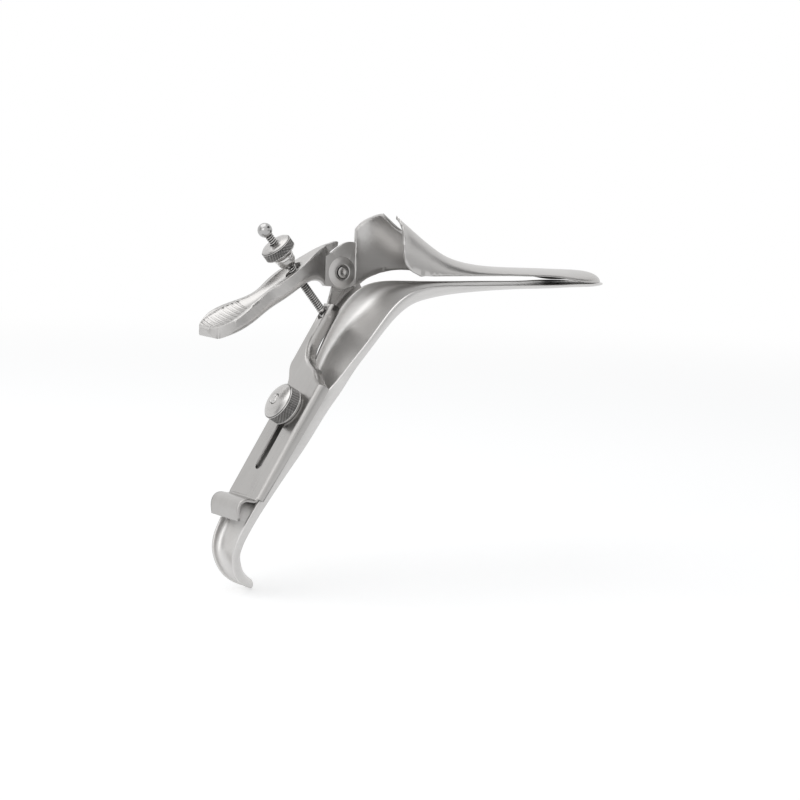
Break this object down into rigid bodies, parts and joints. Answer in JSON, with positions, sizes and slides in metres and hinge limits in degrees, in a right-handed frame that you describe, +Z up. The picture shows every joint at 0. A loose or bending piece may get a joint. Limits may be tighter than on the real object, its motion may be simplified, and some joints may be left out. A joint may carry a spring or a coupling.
{
  "type": "bivalve speculum",
  "caption": "Side-opening bivalve speculum: formed steel blades on a channelled handle, sliding yoke with lock knob, thumb lever with knurled stop nut on a tilting threaded rod",
  "frame": {"origin": "on the valve pivot's axis, in the middle plane of the blades, at the throat", "axes": "+X forward along the blades, +Y to the side with the arm and pivot, +Z up"},
  "size_m": [0.1903, 0.0435, 0.155],
  "materials": {
    "lower_valve": "satin stainless steel",
    "lock_stud": "satin stainless steel",
    "lock_washer": "satin stainless steel",
    "yoke": "satin stainless steel",
    "pivot_screw": "satin stainless steel",
    "pivot_nut": "satin stainless steel",
    "rod_pin": "satin stainless steel",
    "upper_valve": "satin stainless steel",
    "thumb_lever": "satin stainless steel",
    "threaded_rod": "satin stainless steel",
    "rod_ball": "polished steel",
    "nut_collar": "polished steel",
    "slot_saddle": "satin stainless steel",
    "lever_nut": "satin stainless steel",
    "lock_knob": "satin stainless steel"
  },
  "bodies": {
    "handle": {"lower_valve": "lower_valve", "lock_stud": "lock_stud", "lock_washer": "lock_washer"},
    "yoke": {"yoke": "yoke", "pivot_screw": "pivot_screw", "pivot_nut": "pivot_nut", "rod_pin": "rod_pin"},
    "valve": {"upper_valve": "upper_valve", "thumb_lever": "thumb_lever"},
    "rod": {"threaded_rod": "threaded_rod", "rod_ball": "rod_ball"},
    "collar": {"nut_collar": "nut_collar", "slot_saddle": "slot_saddle"},
    "nut": {"lever_nut": "lever_nut"},
    "knob": {"lock_knob": "lock_knob"}
  },
  "joints": [
    {"name": "yoke_slide", "type": "slide", "parent": "handle", "child": "yoke", "axis": [0.527, 0, 0.8499], "range_m": [0, 0.026]},
    {"name": "valve_pivot", "type": "hinge", "parent": "yoke", "child": "valve", "pos_m": [0, 0.0177, 0], "axis": [0, -1, 0], "range_deg": [0, 24]},
    {"name": "rod_pivot", "type": "hinge", "parent": "yoke", "child": "rod", "pos_m": [-0.00833, 0.016, -0.01837], "axis": [0, -1, 0], "range_deg": [-1, 19.2]},
    {"name": "collar_slide", "type": "slide", "parent": "rod", "child": "collar", "axis": [-0.6414, 0, 0.7672], "range_m": [-0.00825, 0.0005]},
    {"name": "nut_spin", "type": "hinge", "parent": "collar", "child": "nut", "pos_m": [-0.03238, 0.016, 0.0104], "axis": [-0.6414, 0, 0.7672], "continuous": true},
    {"name": "knob_turn", "type": "hinge", "parent": "handle", "child": "knob", "pos_m": [-0.03714, 0, -0.05345], "axis": [-0.8499, 0, 0.527], "continuous": true}
  ],
  "couplings": [
    {"joint": "rod_pivot", "follows": "valve_pivot", "ratio": 0.76},
    {"joint": "collar_slide", "follows": "valve_pivot", "m_per_rad": -0.0185}
  ]
}
